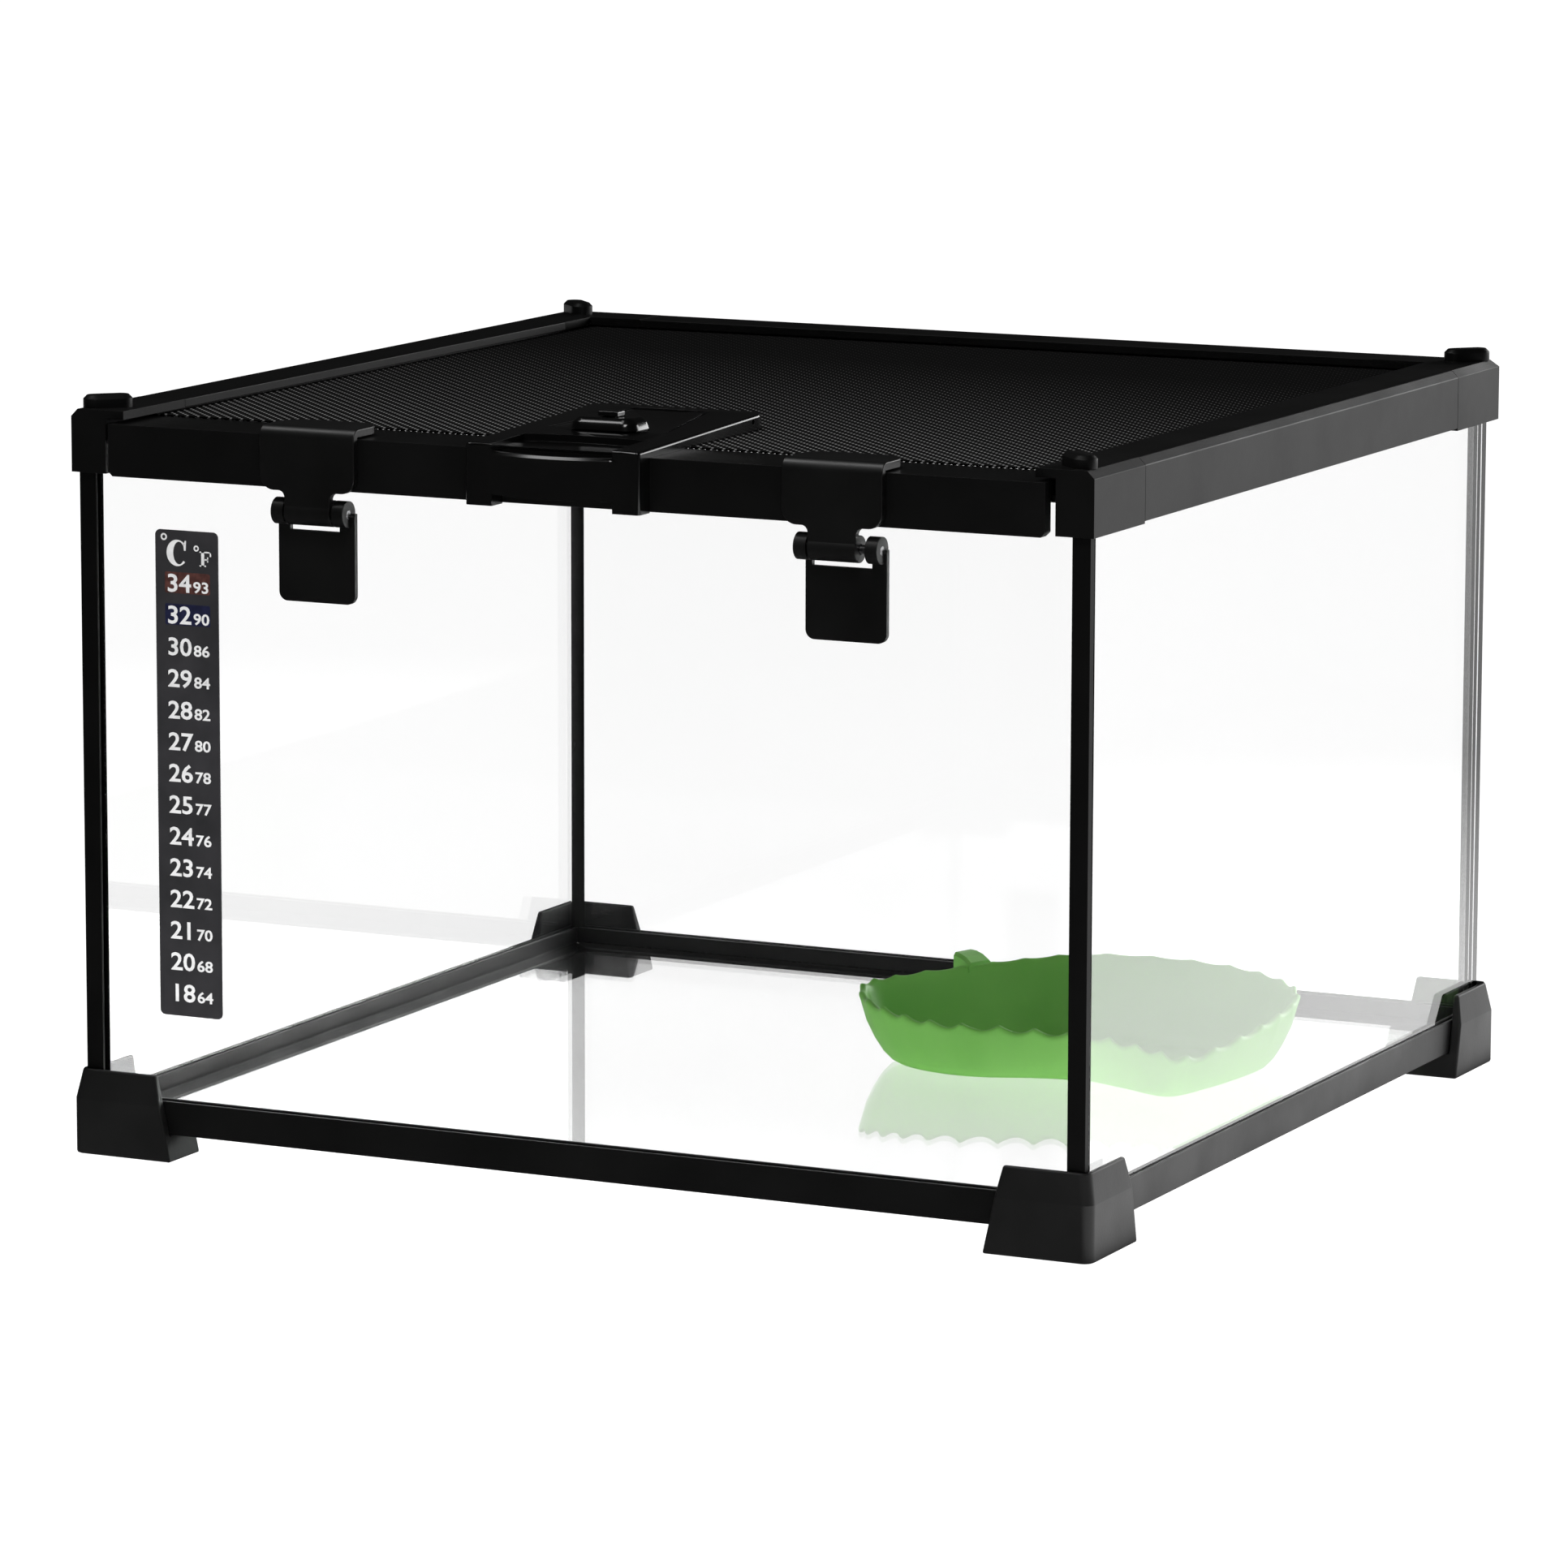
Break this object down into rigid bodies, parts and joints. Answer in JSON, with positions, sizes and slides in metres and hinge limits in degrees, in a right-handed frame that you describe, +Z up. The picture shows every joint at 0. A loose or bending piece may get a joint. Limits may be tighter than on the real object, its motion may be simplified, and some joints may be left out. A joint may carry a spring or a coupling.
{
  "type": "hamster cage",
  "caption": "Glass small-animal tank on corner feet, with a sliding mesh lid, clips, a feeding hatch and door, a thermometer strip and a loose leaf-shaped dish.",
  "frame": {"origin": "on the standing plane under the middle of the glass box", "axes": "+Z up, +X to the right seen from the front, +Y from the hatch at the front to the back"},
  "size_m": [0.297, 0.296, 0.205],
  "materials": {
    "frame_plastic": "fine moulded satin",
    "hatch_plastic": "gloss moulded",
    "clip_plastic": "satin moulded",
    "clear_glass": "clear, ground edges",
    "seal_strip": "matte extruded",
    "strip_film": "printed film",
    "mesh_wire": "coated woven wire",
    "pin_steel": "drawn wire",
    "foam_pad": "closed-cell foam",
    "dish_plastic": "moulded, lightly grained"
  },
  "bodies": {
    "tank": {"foot_front_left": "frame_plastic", "foot_front_right": "frame_plastic", "foot_back_left": "frame_plastic", "foot_back_right": "frame_plastic", "bottom_rail_front": "frame_plastic", "bottom_rail_back": "frame_plastic", "bottom_rail_left": "frame_plastic", "bottom_rail_right": "frame_plastic", "glass_front": "clear_glass", "glass_back": "clear_glass", "glass_left": "clear_glass", "glass_right": "clear_glass", "glass_floor": "clear_glass", "corner_strip_front_left": "seal_strip", "corner_strip_front_right": "seal_strip", "corner_strip_back_left": "seal_strip", "corner_strip_back_right": "seal_strip", "corner_cap_front_left": "frame_plastic", "corner_cap_front_right": "frame_plastic", "corner_cap_back_left": "frame_plastic", "corner_cap_back_right": "frame_plastic", "top_rail_left": "frame_plastic", "top_rail_right": "frame_plastic", "top_rail_back": "frame_plastic", "thermometer_strip": "strip_film"},
    "lid": {"lid_front_rail": "frame_plastic", "lid_side_bar_left": "frame_plastic", "lid_side_bar_right": "frame_plastic", "lid_back_bar": "frame_plastic", "mesh_screen": "mesh_wire", "hatch_bezel": "hatch_plastic", "door_hinge_pin": "pin_steel", "clip_hook_left": "clip_plastic", "clip_hook_right": "clip_plastic", "clip_pin_left": "pin_steel", "clip_pin_right": "pin_steel"},
    "clip_lever_left": {"clip_lever_left": "clip_plastic", "clip_pad_left": "foam_pad"},
    "clip_lever_right": {"clip_lever_right": "clip_plastic", "clip_pad_right": "foam_pad"},
    "feed_door": {"feed_door": "hatch_plastic", "latch_housing": "hatch_plastic"},
    "latch_slider": {"latch_slider": "hatch_plastic"},
    "food_dish": {"food_dish": "dish_plastic"}
  },
  "joints": [
    {"name": "lid_slide", "type": "slide", "parent": "tank", "child": "lid", "axis": [0, -1, 0], "range_m": [0, 0.24]},
    {"name": "clip_left_swing", "type": "hinge", "parent": "lid", "child": "clip_lever_left", "pos_m": [-0.0735, -0.1428, 0.1772], "axis": [-1, 0, 0], "range_deg": [0, 110]},
    {"name": "clip_right_swing", "type": "hinge", "parent": "lid", "child": "clip_lever_right", "pos_m": [0.0772, -0.1428, 0.1772], "axis": [-1, 0, 0], "range_deg": [0, 110]},
    {"name": "feed_door_hinge", "type": "hinge", "parent": "lid", "child": "feed_door", "pos_m": [0, -0.084, 0.1999], "axis": [-1, 0, 0], "range_deg": [0, 110]},
    {"name": "latch_slide", "type": "slide", "parent": "feed_door", "child": "latch_slider", "axis": [0, 1, 0], "range_m": [0, 0.003], "stiffness_N_per_m": 100},
    {"name": "dish_lift", "type": "slide", "parent": "tank", "child": "food_dish", "axis": [0, 0, 1], "range_m": [0, 0.1]}
  ]
}
